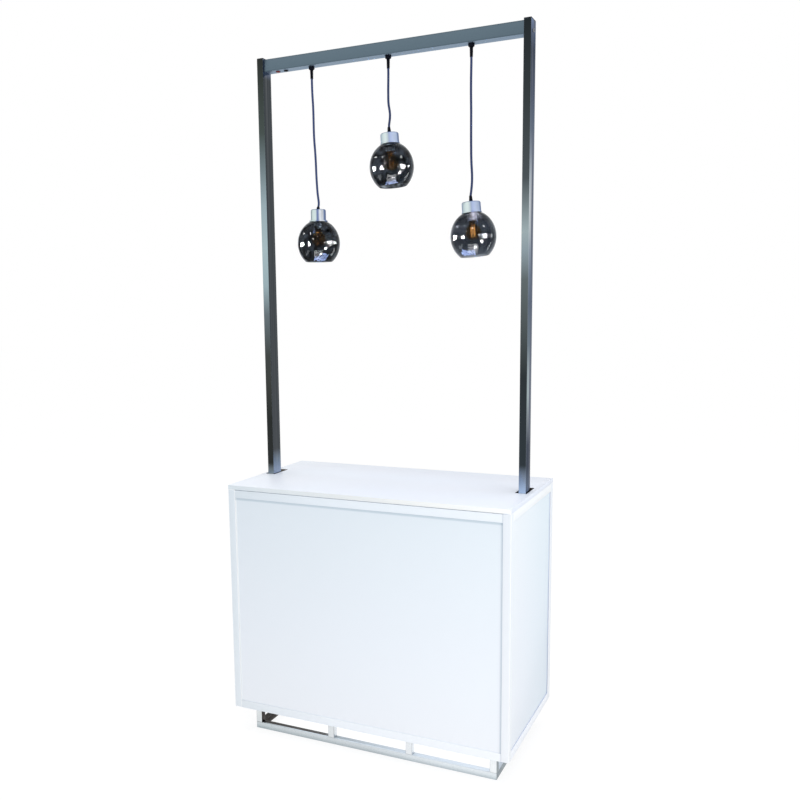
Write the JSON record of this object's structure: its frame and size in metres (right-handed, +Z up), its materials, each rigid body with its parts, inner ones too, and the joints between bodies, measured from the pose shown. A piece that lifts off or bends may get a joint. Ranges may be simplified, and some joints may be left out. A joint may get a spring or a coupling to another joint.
{
  "type": "illuminated bar counter",
  "caption": "White light-box bar counter on a low chrome tube base, with two chrome posts and a header that carries pendant lamps with smoked glass globes.",
  "frame": {"origin": "on the floor under the middle of the counter", "axes": "+Z up, +X to the right of a guest who faces the counter, -Y towards the guests, +Y the service side"},
  "size_m": [1.2, 0.63, 2.822],
  "materials": {
    "chrome_tube": "satin chrome",
    "gantry_chrome": "bright chrome",
    "header_steel": "satin, slightly dark",
    "white_lacquer": "white satin lacquer",
    "white_laminate": "white satin laminate",
    "opal_acrylic": "opal white, lit from behind",
    "black_plastic": "fine satin",
    "black_rubber": "matt",
    "red_plastic": "glossy",
    "rocker_black": "satin gloss",
    "zinc_steel": "zinc plated",
    "cast_aluminium": "cast, machined ends",
    "light_bar": "white coated",
    "driver_case": "anodised",
    "box_grey": "fine powder coat",
    "cable_black": "smooth",
    "cord_jacket": "smooth, navy black",
    "cup_chrome": "bright chrome",
    "holder_white": "white thermoset",
    "smoked_glass": "smoked, polished",
    "amber_glass": "amber tint",
    "bulb_brass": "screw cap and filaments"
  },
  "bodies": {
    "counter": {"base_long_rails": "chrome_tube", "base_cross_rails": "chrome_tube", "base_uprights": "chrome_tube", "corner_posts": "white_lacquer", "long_rails": "white_lacquer", "side_rails": "white_lacquer", "front_panel": "opal_acrylic", "left_panel": "opal_acrylic", "right_panel": "opal_acrylic", "top_board": "white_laminate", "floor_board": "white_laminate", "front_reflector": "white_laminate", "side_liners": "white_laminate", "shelf": "white_laminate", "shelf_pins": "zinc_steel", "left_post": "gantry_chrome", "right_post": "gantry_chrome", "post_caps": "black_plastic", "header": "header_steel", "header_end_blocks": "cast_aluminium", "post_shoes": "zinc_steel", "post_straps": "zinc_steel", "fasteners": "zinc_steel", "red_terminal": "red_plastic", "black_terminal": "black_plastic", "glands": "black_plastic", "gland_locknuts": "black_plastic", "light_bars": "light_bar", "driver": "driver_case", "control_box": "box_grey", "mains_inlet": "black_plastic", "wiring": "cable_black"},
    "left_swivel": {"left_tail": "black_rubber"},
    "left_lamp": {"left_cord": "cord_jacket", "left_grip": "black_plastic", "left_cup": "cup_chrome", "left_holder": "holder_white", "left_shade_ring": "holder_white", "left_globe": "smoked_glass", "left_bulb_glass": "amber_glass", "left_bulb_core": "bulb_brass"},
    "centre_swivel": {"centre_tail": "black_rubber"},
    "centre_lamp": {"centre_cord": "cord_jacket", "centre_grip": "black_plastic", "centre_cup": "cup_chrome", "centre_holder": "holder_white", "centre_shade_ring": "holder_white", "centre_globe": "smoked_glass", "centre_bulb_glass": "amber_glass", "centre_bulb_core": "bulb_brass"},
    "right_swivel": {"right_tail": "black_rubber"},
    "right_lamp": {"right_cord": "cord_jacket", "right_grip": "black_plastic", "right_cup": "cup_chrome", "right_holder": "holder_white", "right_shade_ring": "holder_white", "right_globe": "smoked_glass", "right_bulb_glass": "amber_glass", "right_bulb_core": "bulb_brass"},
    "rocker": {"rocker_switch": "rocker_black"}
  },
  "joints": [
    {"name": "left_lamp_sideways", "type": "hinge", "parent": "counter", "child": "left_swivel", "pos_m": [-0.337, 0, 2.756], "axis": [0, 1, 0], "range_deg": [-12, 11]},
    {"name": "left_lamp_front_back", "type": "hinge", "parent": "left_swivel", "child": "left_lamp", "pos_m": [-0.337, 0, 2.72], "axis": [1, 0, 0], "range_deg": [-25, 25]},
    {"name": "centre_lamp_sideways", "type": "hinge", "parent": "counter", "child": "centre_swivel", "pos_m": [0.002, 0, 2.756], "axis": [0, 1, 0], "range_deg": [-12, 12]},
    {"name": "centre_lamp_front_back", "type": "hinge", "parent": "centre_swivel", "child": "centre_lamp", "pos_m": [0.002, 0, 2.72], "axis": [1, 0, 0], "range_deg": [-25, 25]},
    {"name": "right_lamp_sideways", "type": "hinge", "parent": "counter", "child": "right_swivel", "pos_m": [0.341, 0, 2.756], "axis": [0, 1, 0], "range_deg": [-8, 12]},
    {"name": "right_lamp_front_back", "type": "hinge", "parent": "right_swivel", "child": "right_lamp", "pos_m": [0.341, 0, 2.72], "axis": [1, 0, 0], "range_deg": [-25, 25]},
    {"name": "rocker_turn", "type": "hinge", "parent": "counter", "child": "rocker", "pos_m": [-0.335, 0.27, 0.161], "axis": [1, 0, 0], "range_deg": [0, 16]}
  ]
}
